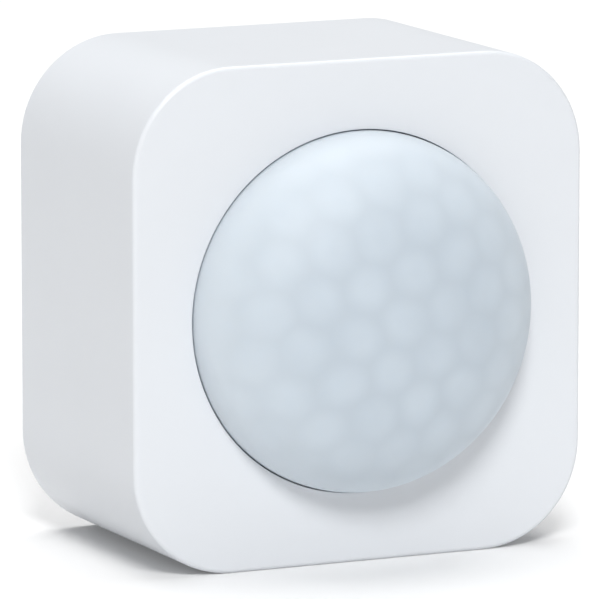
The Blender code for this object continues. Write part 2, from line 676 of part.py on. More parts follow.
def make_lead(name, route, insulation):
    """A soft wire from a contact tab to the back of the board."""
    curve = bpy.data.curves.new(name, "CURVE")
    curve.dimensions = "3D"
    curve.bevel_depth = WIRE_RADIUS * MM
    curve.bevel_resolution = 1
    curve.resolution_u = 4
    curve.use_fill_caps = True
    spline = curve.splines.new("BEZIER")
    spline.bezier_points.add(len(route) - 1)
    for knot, (x, depth, height) in zip(spline.bezier_points, route):
        knot.co = point(x, depth, height)
        knot.handle_left_type = "AUTO"
        knot.handle_right_type = "AUTO"
    add_object(name, curve, (0, 0, 0))
    curve.materials.append(insulation)


def make_leads(red, black):
    """Each wire leaves its tab sideways and turns down to the board, bent towards the other wire."""
    for name, level, bend, insulation in (("lead_positive", "lower", 1, red),
                                          ("lead_negative", "upper", -1, black)):
        height = CELL_HEIGHTS[level]
        route = ((24.0, 21.0, height), (21.5, 20.4, height), (18.5, 17.6, height + bend),
                 (18.0, 15.4, height + bend))
        make_lead(name, route, insulation)


# ---- Wall mount ---------------------------------------------------------------------------------

def make_wall_bracket(plastic, foam):
    front = POCKET_FLOOR + FIT
    back = BODY_DEPTH - FIT
    middle = (0, (BRACKET_LOW + BRACKET_HIGH) / 2)
    outline = rounded_outline(2 * BRACKET_HALF_WIDTH, BRACKET_HIGH - BRACKET_LOW, 1.2, 3)
    bracket = plate("wall_bracket", outline, (front, back), middle)
    ear_x = (-BRACKET_EAR_END, BRACKET_EAR_END)
    join(bracket, box("bracket_ears", ear_x, (front, LIP_FRONT - FIT), (LIP_LOW + 1, BRACKET_HIGH)))
    paint(bracket, plastic)
    pad_width = 2 * (BRACKET_HALF_WIDTH - PAD_MARGIN)
    pad_height = BRACKET_HIGH - BRACKET_LOW - 2 * PAD_MARGIN
    pad_outline = rounded_outline(pad_width, pad_height, 1.5, 3)
    pad = plate("adhesive_pad", pad_outline, (back + PAD_GAP, BODY_DEPTH + PAD_PROUD), middle)
    paint(pad, foam)


def build():
    white = make_material("housing_plastic", (0.86, 0.87, 0.88), 0.42)
    inner_white = make_material("inner_plastic", (0.80, 0.80, 0.79), 0.5)
    steel = make_material("screw_steel", (0.62, 0.62, 0.60), 0.3, 1.0)
    nickel = make_material("contact_nickel", (0.72, 0.70, 0.66), 0.25, 1.0)
    boards = {
        "laminate": make_material("board_laminate", (0.03, 0.22, 0.10), 0.4),
        "chip": make_material("chip_resin", (0.03, 0.03, 0.035), 0.5),
        "shield": make_material("shield_tin", (0.66, 0.66, 0.65), 0.3, 1.0),
        "led": make_material("led_resin", (0.75, 0.72, 0.45), 0.2),
    }
    make_front_housing(white)
    make_lens(make_material("lens_milky", (0.80, 0.86, 0.90), 0.35, 0.0, 0.3))
    make_lens_retainer(inner_white)
    make_screws(steel)
    make_board(boards["laminate"])
    filter_dark = make_material("filter_dark", (0.06, 0.05, 0.06), 0.15)
    make_detector(boards["shield"], filter_dark, nickel)
    make_board_parts(boards)
    plunger_grey = make_material("plunger_grey", (0.35, 0.35, 0.36), 0.45)
    make_button_and_switch(white, boards["chip"], plunger_grey)
    make_rear_housing(white)
    make_battery_door(white)
    jacket = make_material("cell_jacket", (0.10, 0.11, 0.13), 0.35, 0.6)
    for level, side in (("lower", 1), ("upper", -1)):
        make_cell(level, side, jacket)
        make_spring(level, -side, nickel)
    make_contacts(nickel)
    red = make_material("lead_red", (0.60, 0.04, 0.03), 0.5)
    black = make_material("lead_black", (0.02, 0.02, 0.02), 0.5)
    make_leads(red, black)
    make_wall_bracket(white, make_material("pad_foam", (0.70, 0.71, 0.72), 0.9))


clear_scene()
parts = make_collection("motion_sensor")
tools = make_collection("cutters")
build()
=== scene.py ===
"""Looks of a battery motion sensor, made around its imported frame.

Metres, +Z up. The face looks along -Y, and the frame's origin is under the middle of the base.
"""
import json
import math

import bmesh
import bpy
from mathutils import Matrix, Vector


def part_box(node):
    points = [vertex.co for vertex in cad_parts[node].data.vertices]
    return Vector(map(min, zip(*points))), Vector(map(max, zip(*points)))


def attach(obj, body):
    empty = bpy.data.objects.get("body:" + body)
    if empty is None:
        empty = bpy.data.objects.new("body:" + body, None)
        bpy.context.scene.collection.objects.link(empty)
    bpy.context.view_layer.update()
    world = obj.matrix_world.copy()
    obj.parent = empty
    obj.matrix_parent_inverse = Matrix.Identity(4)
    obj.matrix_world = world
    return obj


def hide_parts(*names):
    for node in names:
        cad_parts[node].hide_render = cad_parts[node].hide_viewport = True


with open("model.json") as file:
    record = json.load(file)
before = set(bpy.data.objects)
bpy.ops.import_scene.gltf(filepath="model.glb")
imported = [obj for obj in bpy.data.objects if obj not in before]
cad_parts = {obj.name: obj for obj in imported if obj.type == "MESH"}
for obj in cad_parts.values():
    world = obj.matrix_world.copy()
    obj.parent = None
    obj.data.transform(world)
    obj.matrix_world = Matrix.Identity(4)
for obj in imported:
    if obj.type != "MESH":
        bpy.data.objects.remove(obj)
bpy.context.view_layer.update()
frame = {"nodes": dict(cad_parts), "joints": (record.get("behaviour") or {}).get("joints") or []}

MM = 0.001


def span(node, axis):
    """The lowest and highest place of a frame node along X (0), Y (1) or Z (2)."""
    low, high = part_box(node)
    return low[axis], high[axis]


def centre(node):
    low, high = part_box(node)
    return (Vector(low) + Vector(high)) / 2


def behind_face(millimetres):
    """A place along Y, measured back from the plane of the face."""
    return FACE_Y + millimetres * MM


# ---- Sizes, read from the frame -----------------------------------------------------------------

FACE_Y, REAR_Y = span("front_housing", 1)
HALF_WIDTH = span("front_housing", 0)[1]
HEIGHT = span("front_housing", 2)[1]
MID_Z = HEIGHT / 2
CORNER = 13.85 * MM
WALL = 1.8 * MM
FACE_WALL = 2.0 * MM
GAP = 0.3 * MM                  # clearance between neighbours that don't move together
LENS_RADIUS = 23.65 * MM
LENS_WALL = 0.8 * MM
DOME = FACE_Y - span("fresnel_lens", 1)[0]
OPENING = LENS_RADIUS + 0.16 * MM
CELL_PITCH = 6.65 * MM          # lenslet spacing, along the curve of the dome
CELL_TURN = math.radians(14.1)  # lenslet rows rise this much to the right
CELL_ZONE = 22.9 * MM           # lenslets stop here, just short of the rim
CELL_CURVE = 43.7 * MM          # radius of the round cap that the lenslets are laid out on
CELL_MIDDLE = (-0.4 * MM, 0.8 * MM)


# ---- Mesh helpers -------------------------------------------------------------------------------

SMALLEST_CORNER = 0.01 * MM
WELD = 0.002 * MM


def new_piece(name, mesh):
    piece = bpy.data.objects.new(name, mesh)
    bpy.context.scene.collection.objects.link(piece)
    return piece


def mesh_piece(name, shape):
    """An object from a bmesh, with its faces turned outward."""
    bmesh.ops.recalc_face_normals(shape, faces=shape.faces)
    mesh = bpy.data.meshes.new(name)
    shape.to_mesh(mesh)
    shape.free()
    return new_piece(name, mesh)


def skin(shape, rows, loop=False):
    """Faces between rows of vertices. A row of one is a tip. A loop joins the last row to the first."""
    pairs = list(zip(rows, rows[1:]))
    if loop:
        pairs.append((rows[-1], rows[0]))
    for row, following in pairs:
        around = max(len(row), len(following))
        for index in range(around):
            after = (index + 1) % around
            corners = [row[index % len(row)], row[after % len(row)],
                       following[after % len(following)], following[index % len(following)]]
            shape.faces.new(list(dict.fromkeys(corners)))


def loft(name, rings, loop=False):
    """A piece over rings of equal length: a closed loop of them, or one with both ends filled."""
    shape = bmesh.new()
    rows = [[shape.verts.new(place) for place in ring] for ring in rings]
    skin(shape, rows, loop)
    if not loop:
        shape.faces.new(rows[0][::-1])
        shape.faces.new(rows[-1])
    return mesh_piece(name, shape)


def rounded_rectangle(half_x, half_z, radius, corner_steps, side_steps=1):
    """Places round a rectangle with round corners, counter-clockwise in X and Z, round its middle."""
    places = []
    for quarter in range(4):
        side_x = 1 if quarter in (0, 3) else -1
        side_z = 1 if quarter in (0, 1) else -1
        for step in range(corner_steps + 1):
            angle = math.radians(90 * (quarter + step / corner_steps))
            places.append((side_x * (half_x - radius) + radius * math.cos(angle),
                           side_z * (half_z - radius) + radius * math.sin(angle)))
        straight = 2 * ((half_x, half_z)[quarter % 2] - radius)
        run = ((-1, 0), (0, -1), (1, 0), (0, 1))[quarter]
        start = places[-1]
        for step in range(1, side_steps):
            along = straight * step / side_steps
            places.append((start[0] + run[0] * along, start[1] + run[1] * along))
    return places


def ring_at(places, y, middle):
    return [Vector((middle[0] + x, y, middle[1] + z)) for x, z in places]


def slab(name, half_x, half_z, radius, ys, middle, edge, steps, corner_steps):
    """A plate in the plane of the face, with round corners and rounded edges front and back."""
    rings = []
    for end, y in enumerate(ys):
        inward = 1 if end == 0 else -1
        order = range(steps + 1) if end == 0 else range(steps, -1, -1)
        for step in order:
            angle = math.pi / 2 * step / steps
            inset = edge * (1 - math.sin(angle))
            sink = edge * (1 - math.cos(angle))
            corner = max(radius - inset, SMALLEST_CORNER)
            places = rounded_rectangle(half_x - inset, half_z - inset, corner, corner_steps)
            rings.append(ring_at(places, y + inward * sink, middle))
    return loft(name, rings)


def box(name, low, high):
    shape = bmesh.new()
    bmesh.ops.create_cube(shape, size=1)
    size = Vector(high) - Vector(low)
    bmesh.ops.scale(shape, vec=size, verts=shape.verts)
    bmesh.ops.translate(shape, vec=(Vector(low) + Vector(high)) / 2, verts=shape.verts)
    return mesh_piece(name, shape)


def bar(name, radius, start, end, segments):
    """A round bar from one place to another."""
    start, end = Vector(start), Vector(end)
    shape = bmesh.new()
    bmesh.ops.create_cone(shape, cap_ends=True, segments=segments, radius1=radius, radius2=radius,
                          depth=(end - start).length)
    turn = (end - start).to_track_quat("Z", "Y").to_matrix().to_4x4()
    bmesh.ops.transform(shape, matrix=Matrix.Translation((start + end) / 2) @ turn, verts=shape.verts)
    return mesh_piece(name, shape)


def turned(name, profile, place, direction, segments):
    """A closed profile of (radius, along) turned round a line from place in the given direction."""
    turn = Vector(direction).to_track_quat("Z", "Y").to_matrix().to_4x4()
    move = Matrix.Translation(place) @ turn
    shape = bmesh.new()
    rows = []
    for radius, along in profile:
        if radius == 0:
            rows.append([shape.verts.new(move @ Vector((0, 0, along)))])
            continue
        angles = [2 * math.pi * index / segments for index in range(segments)]
        places = [(radius * math.cos(angle), radius * math.sin(angle), along) for angle in angles]
        rows.append([shape.verts.new(move @ Vector(corner)) for corner in places])
    skin(shape, rows, loop=len(rows[0]) > 1 and len(rows[-1]) > 1)
    return mesh_piece(name, shape)


def rounded_profile(points, rounds, steps=4):
    """Rounds the corners of a profile: rounds[i] is the fillet radius at points[i], 0 for none."""
    out = []
    for index, (corner, fillet) in enumerate(zip(points, rounds)):
        corner = Vector(corner)
        if fillet == 0:
            out.append(tuple(corner))
            continue
        before = (Vector(points[index - 1]) - corner).normalized() * fillet
        after = (Vector(points[(index + 1) % len(points)]) - corner).normalized() * fillet
        for step in range(steps + 1):
            share = step / steps
            out.append(tuple(corner + before * (1 - share) ** 2 + after * share ** 2))
    return out


def bake_modifiers(piece):
    bpy.context.view_layer.update()
    evaluated = piece.evaluated_get(bpy.context.evaluated_depsgraph_get())
    mesh = bpy.data.meshes.new_from_object(evaluated)
    piece.modifiers.clear()
    old = piece.data
    piece.data = mesh
    bpy.data.meshes.remove(old)
    return piece


def carve(piece, joined=(), cut=()):
    """Joins solids to a piece and cuts others from it, then removes them."""
    for operation, tools in (("UNION", joined), ("DIFFERENCE", cut)):
        for tool in tools:
            change = piece.modifiers.new(tool.name, "BOOLEAN")
            change.operation = operation
            change.solver = "EXACT"
            change.object = tool
    bake_modifiers(piece)
    for tool in (*joined, *cut):
        bpy.data.objects.remove(tool, do_unlink=True)
    return piece


def tidy_mesh(piece):
    """Welds what a cut left split and merges faces that lie in one plane."""
    shape = bmesh.new()
    shape.from_mesh(piece.data)
    bmesh.ops.remove_doubles(shape, verts=shape.verts, dist=WELD)
    bmesh.ops.dissolve_limit(shape, angle_limit=math.radians(0.5), verts=shape.verts, edges=shape.edges)
    shape.to_mesh(piece.data)
    shape.free()


def soften(piece, width, segments, angle=35):
    bevel = piece.modifiers.new("edges", "BEVEL")
    bevel.width = width
    bevel.segments = segments
    bevel.limit_method = "ANGLE"
    bevel.angle_limit = math.radians(angle)
    bevel.miter_outer = "MITER_ARC"
    return bake_modifiers(piece)


def smooth(piece, angle):
    """Smooth shading that keeps wide flat faces flat."""
    piece.data.shade_smooth()
    piece.data.set_sharp_from_angle(angle=math.radians(angle))
    weighted = piece.modifiers.new("normals", "WEIGHTED_NORMAL")
    weighted.keep_sharp = True
    weighted.weight = 80
    return piece


def dress(piece, body, material, slot, *nodes):
    """Material, body and, where it stands for frame nodes, those nodes."""
    piece.data.materials.clear()
    piece.data.materials.append(material)
    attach(piece, body)
    if nodes:
        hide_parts(*nodes)
    return piece


# ---- Materials ----------------------------------------------------------------------------------

class Nodes:
    """Short calls for the nodes of one material."""

    def __init__(self, name):
        self.material = bpy.data.materials.new(name)
        self.material.use_nodes = True
        self.tree = self.material.node_tree
        self.shader = self.tree.nodes["Principled BSDF"]
        self.place = self.add("ShaderNodeTexCoord").outputs["Object"]

    def add(self, kind, **values):
        node = self.tree.nodes.new(kind)
        for name, value in values.items():
            setattr(node, name, value)
        return node

    def link(self, output, socket):
        self.tree.links.new(output, socket)

    def noise(self, scale, detail=2.0, rough=0.5):
        node = self.add("ShaderNodeTexNoise")
        node.inputs["Scale"].default_value = scale
        node.inputs["Detail"].default_value = detail
        node.inputs["Roughness"].default_value = rough
        self.link(self.place, node.inputs["Vector"])
        return node.outputs["Fac"]

    def span(self, value, low, high, from_low=0.0, from_high=1.0, soft=False):
        node = self.add("ShaderNodeMapRange")
        node.interpolation_type = "SMOOTHSTEP" if soft else "LINEAR"
        node.inputs["From Min"].default_value = from_low
        node.inputs["From Max"].default_value = from_high
        node.inputs["To Min"].default_value = low
        node.inputs["To Max"].default_value = high
        self.link(value, node.inputs["Value"])
        return node.outputs["Result"]

    def mix(self, factor, first, second):
        node = self.add("ShaderNodeMix", data_type="RGBA")
        self.link(factor, node.inputs["Factor"])
        for socket, colour in ((node.inputs["A"], first), (node.inputs["B"], second)):
            if hasattr(colour, "links"):
                self.link(colour, socket)
            else:
                socket.default_value = (*colour, 1.0)
        return node.outputs["Result"]

    def feed(self, node, values):
        for socket, value in zip(node.inputs, values):
            if hasattr(value, "links"):
                self.link(value, socket)
            else:
                socket.default_value = value

    def maths(self, operation, *values):
        node = self.add("ShaderNodeMath", operation=operation)
        self.feed(node, values)
        return node.outputs["Value"]

    def vector(self, operation, *values, output="Vector"):
        node = self.add("ShaderNodeVectorMath", operation=operation)
        self.feed(node, values)
        return node.outputs[output]

    def bump(self, height, strength, distance):
        node = self.add("ShaderNodeBump")
        node.inputs["Strength"].default_value = strength
        node.inputs["Distance"].default_value = distance
        self.link(height, node.inputs["Height"])
        self.link(node.outputs["Normal"], self.shader.inputs["Normal"])

    def set(self, **values):
        for name, value in values.items():
            socket = self.shader.inputs[name.replace("_", " ")]
            if hasattr(value, "links"):
                self.link(value, socket)
            else:
                socket.default_value = (*value, 1.0) if isinstance(value, tuple) else value


def plastic(name, colour, roughness, grain=2600, depth=0.006, drift=0.012):
    """Moulded plastic: a faint drift of tone, a spark-eroded grain, and patches a little smoother."""
    nodes = Nodes(name)
    darker = tuple(channel * (1 - drift) for channel in colour)
    lighter = tuple(min(1.0, channel * (1 + drift)) for channel in colour)
    nodes.set(Base_Color=nodes.mix(nodes.noise(45, 3), darker, lighter))
    nodes.set(Roughness=nodes.span(nodes.noise(160, 3), roughness - 0.04, roughness + 0.04))
    nodes.bump(nodes.noise(grain, 2), 0.35, depth * MM)
    return nodes.material


def metal(name, colour, roughness, streak=900):
    """Plated metal: fine drawn streaks and slightly uneven gloss."""
    nodes = Nodes(name)
    stretched = nodes.vector("MULTIPLY", nodes.place, (1.0, 0.12, 1.0))
    streaks = nodes.add("ShaderNodeTexNoise")
    streaks.inputs["Scale"].default_value = streak
    streaks.inputs["Detail"].default_value = 3
    nodes.link(stretched, streaks.inputs["Vector"])
    tone = streaks.outputs["Fac"]
    darker = tuple(channel * 0.92 for channel in colour)
    nodes.set(Base_Color=nodes.mix(tone, darker, colour), Metallic=1.0)
    nodes.set(Roughness=nodes.span(tone, roughness - 0.06, roughness + 0.08))
    nodes.bump(tone, 0.2, 0.01 * MM)
    return nodes.material


def laminate(name):
    """Green solder mask over copper tracks, with the weave of the glass just showing."""
    nodes = Nodes(name)
    tracks = nodes.add("ShaderNodeTexBrick")
    tracks.inputs["Scale"].default_value = 260
    tracks.inputs["Mortar Size"].default_value = 0.035
    tracks.inputs["Brick Width"].default_value = 0.9
    turned_place = nodes.add("ShaderNodeVectorRotate", rotation_type="X_AXIS")
    turned_place.inputs["Angle"].default_value = math.pi / 2
    nodes.link(nodes.place, turned_place.inputs["Vector"])
    nodes.link(turned_place.outputs["Vector"], tracks.inputs["Vector"])
    mask = nodes.mix(nodes.noise(1800, 2), (0.018, 0.16, 0.07), (0.03, 0.21, 0.10))
    nodes.set(Base_Color=nodes.mix(tracks.outputs["Fac"], mask, (0.05, 0.30, 0.14)), Coat_Weight=0.4)
    nodes.set(Roughness=nodes.span(nodes.noise(300, 2), 0.28, 0.42))
    nodes.bump(tracks.outputs["Fac"], 0.3, 0.03 * MM)
    return nodes.material


def lenslet_blob(nodes):
    """1 in the middle of each lenslet and 0 at its border, from two shifted grids of points."""
    warp = nodes.add("ShaderNodeTexNoise")
    warp.inputs["Scale"].default_value = 110
    nodes.link(nodes.place, warp.inputs["Vector"])
    drift = nodes.vector("MULTIPLY", nodes.vector("SUBTRACT", warp.outputs["Color"], (0.5, 0.5, 0.5)),
                         (CELL_PITCH * 0.35,) * 3)
    warped = nodes.vector("ADD", nodes.place, drift)
    aside = nodes.vector("SUBTRACT", warped, (CELL_MIDDLE[0], 0.0, MID_Z + CELL_MIDDLE[1]))
    flat_aside = nodes.vector("MULTIPLY", aside, (1.0, 0.0, 1.0))
    share = nodes.maths("DIVIDE", nodes.vector("LENGTH", flat_aside, output="Value"), CELL_CURVE)
    stretch = nodes.maths("DIVIDE", nodes.maths("ARCSINE", share), nodes.maths("MAXIMUM", share, 1e-4))
    scaled = nodes.add("ShaderNodeVectorMath", operation="SCALE")
    nodes.link(flat_aside, scaled.inputs["Vector"])
    nodes.link(stretch, scaled.inputs["Scale"])
    turn = nodes.add("ShaderNodeVectorRotate", rotation_type="Y_AXIS")
    turn.inputs["Angle"].default_value = CELL_TURN
    nodes.link(scaled.outputs["Vector"], turn.inputs["Vector"])
    flat = nodes.vector("MULTIPLY", turn.outputs["Vector"], (1 / CELL_PITCH, 0.0, 1 / CELL_PITCH))
    half = (0.5, 0.5, math.sqrt(3) / 2)
    minus_half = tuple(-value for value in half)
    distances = []
    for shift in ((0.0, 0.0, 0.0), (0.5, 0.0, math.sqrt(3) / 2)):
        moved = nodes.vector("ADD", flat, shift)
        wrapped = nodes.vector("WRAP", moved, half, minus_half)
        wrapped = nodes.vector("MULTIPLY", wrapped, (1.0, 0.0, 1.0))
        distances.append(nodes.vector("LENGTH", wrapped, output="Value"))
    nearest = nodes.maths("MINIMUM", *distances)
    return nodes.span(nearest, 1.0, 0.0, 0.16, 0.60, soft=True)


def milky_lens(name):
    """Milky polyethylene, smooth outside, with the lenslets of its inside showing faintly through, and
    its colour painted lighter towards the rim: a painted glow standing in for light that passes through
    the dome.
    """
    # rim is the tone of the plain band beyond the lenslets. It is made lighter as a painted glow of light
    # passing through the dome's edge.
    border, middle, rim = (0.436, 0.498, 0.562), (0.493, 0.559, 0.625), (0.570, 0.636, 0.700)
    nodes = Nodes(name)
    aside = nodes.vector("SUBTRACT", nodes.place, (0.0, 0.0, MID_Z))
    flat_aside = nodes.vector("MULTIPLY", aside, (1.0, 0.0, 1.0))
    reach = nodes.vector("LENGTH", flat_aside, output="Value")
    uneven = nodes.span(nodes.noise(130, 2), 0.35, 1.0, 0.3, 0.7)
    celled = nodes.mix(nodes.maths("MULTIPLY", lenslet_blob(nodes), uneven), border, middle)
    # Painted glow: the colour goes halfway to the lighter rim tone between 11 and 22 mm out, so the lens
    # is lighter towards its rim.
    outward = nodes.span(reach, 0.0, 0.50, 11 * MM, 22 * MM, soft=True)
    # The plain band beyond the lenslets takes the rim tone, painted glow included.
    band = nodes.span(reach, 0.0, 1.0, CELL_ZONE - 2.4 * MM, CELL_ZONE + 0.7 * MM, soft=True)
    nodes.set(Base_Color=nodes.mix(band, nodes.mix(outward, celled, rim), rim))
    nodes.set(Roughness=nodes.span(nodes.noise(90, 2), 0.56, 0.64))
    nodes.set(Subsurface_Weight=0.35, Subsurface_Scale=0.004, IOR=1.6, Specular_IOR_Level=0.45)
    nodes.shader.inputs["Subsurface Radius"].default_value = (0.8, 0.9, 1.0)
    nodes.bump(nodes.noise(1500, 2), 0.2, 0.003 * MM)
    return nodes.material


def foam(name):
    nodes = Nodes(name)
    cells = nodes.add("ShaderNodeTexVoronoi")
    cells.inputs["Scale"].default_value = 2200
    nodes.link(nodes.place, cells.inputs["Vector"])
    nodes.set(Base_Color=nodes.mix(cells.outputs["Distance"], (0.60, 0.61, 0.62), (0.72, 0.73, 0.74)))
    nodes.set(Roughness=nodes.span(nodes.noise(400), 0.8, 0.95))
    nodes.bump(cells.outputs["Distance"], 0.5, 0.05 * MM)
    return nodes.material


def floor_white(name):
    nodes = Nodes(name)
    nodes.set(Base_Color=nodes.mix(nodes.noise(6, 2), (0.79, 0.79, 0.79), (0.81, 0.81, 0.81)))
    nodes.set(Roughness=0.7, Emission_Color=(1.0, 1.0, 1.0), Emission_Strength=0.06)
    return nodes.material


WHITE = plastic("housing_white", (0.650, 0.672, 0.702), 0.42)
INNER = plastic("inner_white", (0.68, 0.68, 0.67), 0.5)
BUTTON = plastic("button_white", (0.635, 0.655, 0.685), 0.38)
CHIP = plastic("chip_resin", (0.025, 0.025, 0.03), 0.5, grain=3600, depth=0.01, drift=0.15)
PLUNGER = plastic("plunger_grey", (0.30, 0.30, 0.31), 0.45)
FILTER = plastic("filter_dark", (0.05, 0.04, 0.055), 0.15, depth=0.001)
LED = plastic("led_resin", (0.78, 0.74, 0.45), 0.2, depth=0.001)
LEAD_RED = plastic("lead_red", (0.55, 0.03, 0.025), 0.5, drift=0.08)
LEAD_BLACK = plastic("lead_black", (0.02, 0.02, 0.022), 0.5, drift=0.2)
JACKET = plastic("cell_jacket", (0.035, 0.045, 0.06), 0.3, depth=0.002, drift=0.1)
BAND = plastic("cell_band", (0.62, 0.36, 0.12), 0.3, depth=0.002, drift=0.05)
STEEL = metal("screw_steel", (0.62, 0.61, 0.59), 0.3)
NICKEL = metal("contact_nickel", (0.74, 0.72, 0.68), 0.26)
TIN = metal("shield_tin", (0.68, 0.68, 0.67), 0.34, streak=500)
BOARD = laminate("board_laminate")
LENS = milky_lens("lens_milky")
FOAM = foam("pad_foam")


# ---- Front housing ------------------------------------------------------------------------------

def circle_like(places, radius):
    """A circle whose places lie in the same directions as those of another ring."""
    return [(radius * x / math.hypot(x, z), radius * z / math.hypot(x, z)) for x, z in places]


def between(first, second, share):
    return [(x + (u - x) * share, z + (v - z) * share) for (x, z), (u, v) in zip(first, second)]


FACE_EDGE, RIM_EDGE = 0.6 * MM, 0.45 * MM       # roundings of the shell outside, front and back
INNER_EDGE, MOUTH_EDGE = 0.25 * MM, 0.12 * MM   # and those inside the rim and round the lens opening
EDGE_STEPS = 6


def shell_outline(inset):
    return rounded_rectangle(HALF_WIDTH - inset, MID_Z - inset, CORNER - inset, 20, 22)


def rounding(edge, turns, outline_at, y, direction):
    """Rings of a quarter-round edge, which sinks from y in the given direction as it widens."""
    rings = []
    for angle in turns:
        places = outline_at(edge * (1 - math.sin(angle)))
        rings.append(ring_at(places, y + direction * edge * (1 - math.cos(angle)), (0.0, MID_Z)))
    return rings


def flat_rings(first, second, shares, y):
    return [ring_at(between(first, second, share), y, (0.0, MID_Z)) for share in shares]


def make_front_housing():
    """The shell as one closed loop of rings: face edge, side walls, rim, inside, lens opening, face."""
    inner_face = FACE_Y + FACE_WALL
    turns = [math.pi / 2 * step / EDGE_STEPS for step in range(EDGE_STEPS + 1)]
    turns_back = turns[::-1]
    coarse, coarse_back = turns[::2], turns[::-2]
    wide = circle_like(shell_outline(FACE_EDGE), OPENING + MOUTH_EDGE)

    def mouth(inset):
        return circle_like(wide, OPENING + inset)

    rings = rounding(FACE_EDGE, turns, shell_outline, FACE_Y, 1)
    for share in (0.2, 0.4, 0.6, 0.8):
        rings.append(ring_at(shell_outline(0), FACE_Y + (REAR_Y - FACE_Y) * share, (0.0, MID_Z)))
    rings += rounding(RIM_EDGE, turns_back, shell_outline, REAR_Y, -1)
    rings += rounding(INNER_EDGE, coarse, lambda inset: shell_outline(WALL - inset), REAR_Y, -1)
    rings += rounding(FACE_EDGE, coarse_back, lambda inset: shell_outline(WALL + inset), inner_face, 1)
    rings += flat_rings(shell_outline(WALL + FACE_EDGE), wide, (0.4, 0.8), inner_face)
    rings += rounding(MOUTH_EDGE, coarse, mouth, inner_face, -1)
    rings += rounding(MOUTH_EDGE, turns_back, mouth, FACE_Y, 1)
    rings += flat_rings(wide, shell_outline(FACE_EDGE), (0.04, 0.3, 0.65, 0.95), FACE_Y)
    shell = loft("housing_shell", rings, loop=True)
    posts, holes = housing_posts()
    carve(shell, posts, holes)
    smooth(shell, 50)
    dress(shell, "housing", WHITE, "housing_plastic", "front_housing")


CASE_POST, CASE_POST_HOLE = 2.8 * MM, 1.2 * MM          # radii
SMALL_POST, SMALL_POST_HOLE = 1.8 * MM, 1.0 * MM
BOARD_PIN = 0.75 * MM
POST_OVERLAP = 0.5 * MM         # how far a post's root sinks into the face
WEB_NEAR, WEB_FAR, WEB_HALF_THICK = 1.0 * MM, 4.4 * MM, 0.6 * MM


def post(name, place, radius, ys):
    return bar(name, radius, (place.x, ys[0], place.z), (place.x, ys[1], place.z), 32)


def housing_posts():
    """The posts that the screws bite into, and the holes in them."""
    root = FACE_Y + FACE_WALL - POST_OVERLAP
    posts, holes = [], []
    for number in range(1, 5):
        place = centre(f"case_screw_{number}")
        end = behind_face(30.5)
        posts.append(post(f"case_post_{number}", place, CASE_POST, (root, end)))
        holes.append(post(f"case_hole_{number}", place, CASE_POST_HOLE, (behind_face(21), end + MM)))
        outward = Vector((math.copysign(1, place.x), 0, math.copysign(1, place.z - MID_Z))).normalized()
        posts.append(post_web(f"case_web_{number}", place, outward, (root, end - 2 * MM)))
    board_front = span("main_pcb", 1)[0]
    for number in (1, 2):
        place = centre(f"pcb_screw_{number}")
        posts.append(post(f"board_post_{number}", place, SMALL_POST, (root, board_front - GAP)))
        holes.append(post(f"board_hole_{number}", place, SMALL_POST_HOLE,
                          (behind_face(6), board_front + MM)))
        mirrored = Vector((-place.x, place.y, place.z))
        posts.append(post(f"pin_post_{number}", mirrored, SMALL_POST, (root, board_front - GAP)))
        posts.append(post(f"pin_{number}", mirrored, BOARD_PIN, (root, board_front + 1.8 * MM)))
    for number in (1, 2, 3):
        place = centre(f"retainer_screw_{number}")
        posts.append(post(f"ring_post_{number}", place, SMALL_POST, (root, behind_face(4.2))))
        holes.append(post(f"ring_hole_{number}", place, SMALL_POST_HOLE,
                          (behind_face(1.2), behind_face(5))))
    return posts, holes


def post_web(name, place, outward, ys):
    """The web that ties a corner post to the wall behind it."""
    side = Vector((outward.z, 0, -outward.x)) * WEB_HALF_THICK
    foot = [place + outward * WEB_NEAR - side, place + outward * WEB_FAR - side,
            place + outward * WEB_FAR + side, place + outward * WEB_NEAR + side]
    return loft(name, [[Vector((corner.x, y, corner.z)) for corner in foot] for y in ys])


# ---- Lens ---------------------------------------------------------------------------------------

CELL_SWELL = 0.28 * MM
CELL_CORNER = 0.3334            # squared distance from a lenslet's middle to its corner, in pitches
LENS_AROUND = 192
DOME_STEPS, INSIDE_STEPS = 40, 56
SKIRT_EDGE = 0.2 * MM
SKIRT_EDGE_MIDDLE = 0.06 * MM


def lenslet_height(x, z):
    """How far the inside swells: most in a lenslet's middle, nothing at its border."""
    reach = math.hypot(x, z)
    if reach > CELL_ZONE:
        return 0.0
    aside_x, aside_z = x - CELL_MIDDLE[0], z - CELL_MIDDLE[1]
    share = max(math.hypot(aside_x, aside_z) / CELL_CURVE, 1e-4)
    stretch = math.asin(share) / share / CELL_PITCH
    across = (aside_x * math.cos(CELL_TURN) + aside_z * math.sin(CELL_TURN)) * stretch
    up = (aside_z * math.cos(CELL_TURN) - aside_x * math.sin(CELL_TURN)) * stretch
    row = math.sqrt(3)
    nearest = math.inf
    for shift_x, shift_z in ((0.0, 0.0), (0.5, row / 2)):
        near_x = across - shift_x - round(across - shift_x)
        near_z = up - shift_z - row * round((up - shift_z) / row)
        nearest = min(nearest, near_x * near_x + near_z * near_z)
    fade = min(1.0, (CELL_ZONE - reach) / (1.0 * MM))
    return CELL_SWELL * max(0.0, 1 - nearest / CELL_CORNER) * fade


